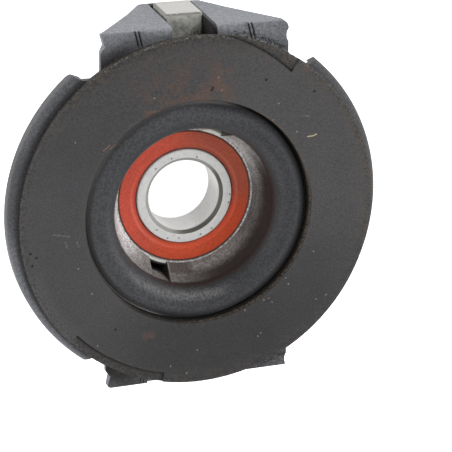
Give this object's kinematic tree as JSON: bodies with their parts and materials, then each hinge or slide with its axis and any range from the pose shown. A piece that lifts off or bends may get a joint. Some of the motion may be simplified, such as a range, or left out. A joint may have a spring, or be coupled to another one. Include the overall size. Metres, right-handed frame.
{
  "type": "claw and friction shaft coupling half",
  "caption": "Shaft coupling half: a bonded friction ring on a pressed drum, a cast yoke with two slotted claw lugs and steel drive blocks, and a sealed ball bearing for the shaft end.",
  "frame": {"origin": "centre of the back, at the height of the lugs' feet, on the shaft axis", "axes": "+Z along the shaft axis, out of the friction face; the two claw lugs stand along +Y and -Y"},
  "size_m": [0.1302, 0.129, 0.04],
  "materials": {
    "friction_lining": "matt dark grey friction compound with brown dust",
    "drum_paint": "smooth dark blue-grey coating",
    "cast_yoke": "as cast, grey phosphate, slightly grainy",
    "rivet_steel": "dull zinc grey",
    "drive_block_steel": "bare steel, ground outer face",
    "bearing_steel": "ground bearing steel, lightly stained",
    "ball_steel": "polished",
    "cage_steel": "pressed strip",
    "seal_rubber": "matt orange-red rubber",
    "spring_steel": "black phosphated spring steel"
  },
  "bodies": {
    "coupling": {"friction_lining": "friction_lining", "drum": "drum_paint", "claw_yoke": "cast_yoke", "drum_rivets": "rivet_steel", "drive_block_1": "drive_block_steel", "drive_block_2": "drive_block_steel", "bearing_outer_ring": "bearing_steel", "seal_front": "seal_rubber", "seal_rear": "seal_rubber", "retaining_ring": "spring_steel"},
    "inner_ring": {"bearing_inner_ring": "bearing_steel"},
    "ball_cage": {"cage_front": "cage_steel", "cage_rear": "cage_steel", "cage_rivets": "cage_steel", "ball_1": "ball_steel", "ball_2": "ball_steel", "ball_3": "ball_steel", "ball_4": "ball_steel", "ball_5": "ball_steel", "ball_6": "ball_steel", "ball_7": "ball_steel", "ball_8": "ball_steel", "ball_9": "ball_steel"}
  },
  "joints": [
    {"name": "inner_ring_spin", "type": "hinge", "parent": "coupling", "child": "inner_ring", "pos_m": [0, 0, 0.0151], "axis": [0, 0, 1], "continuous": true},
    {"name": "ball_cage_spin", "type": "hinge", "parent": "coupling", "child": "ball_cage", "pos_m": [0, 0, 0.0151], "axis": [0, 0, 1], "continuous": true}
  ],
  "couplings": [
    {"joint": "ball_cage_spin", "follows": "inner_ring_spin", "ratio": 0.3969}
  ]
}
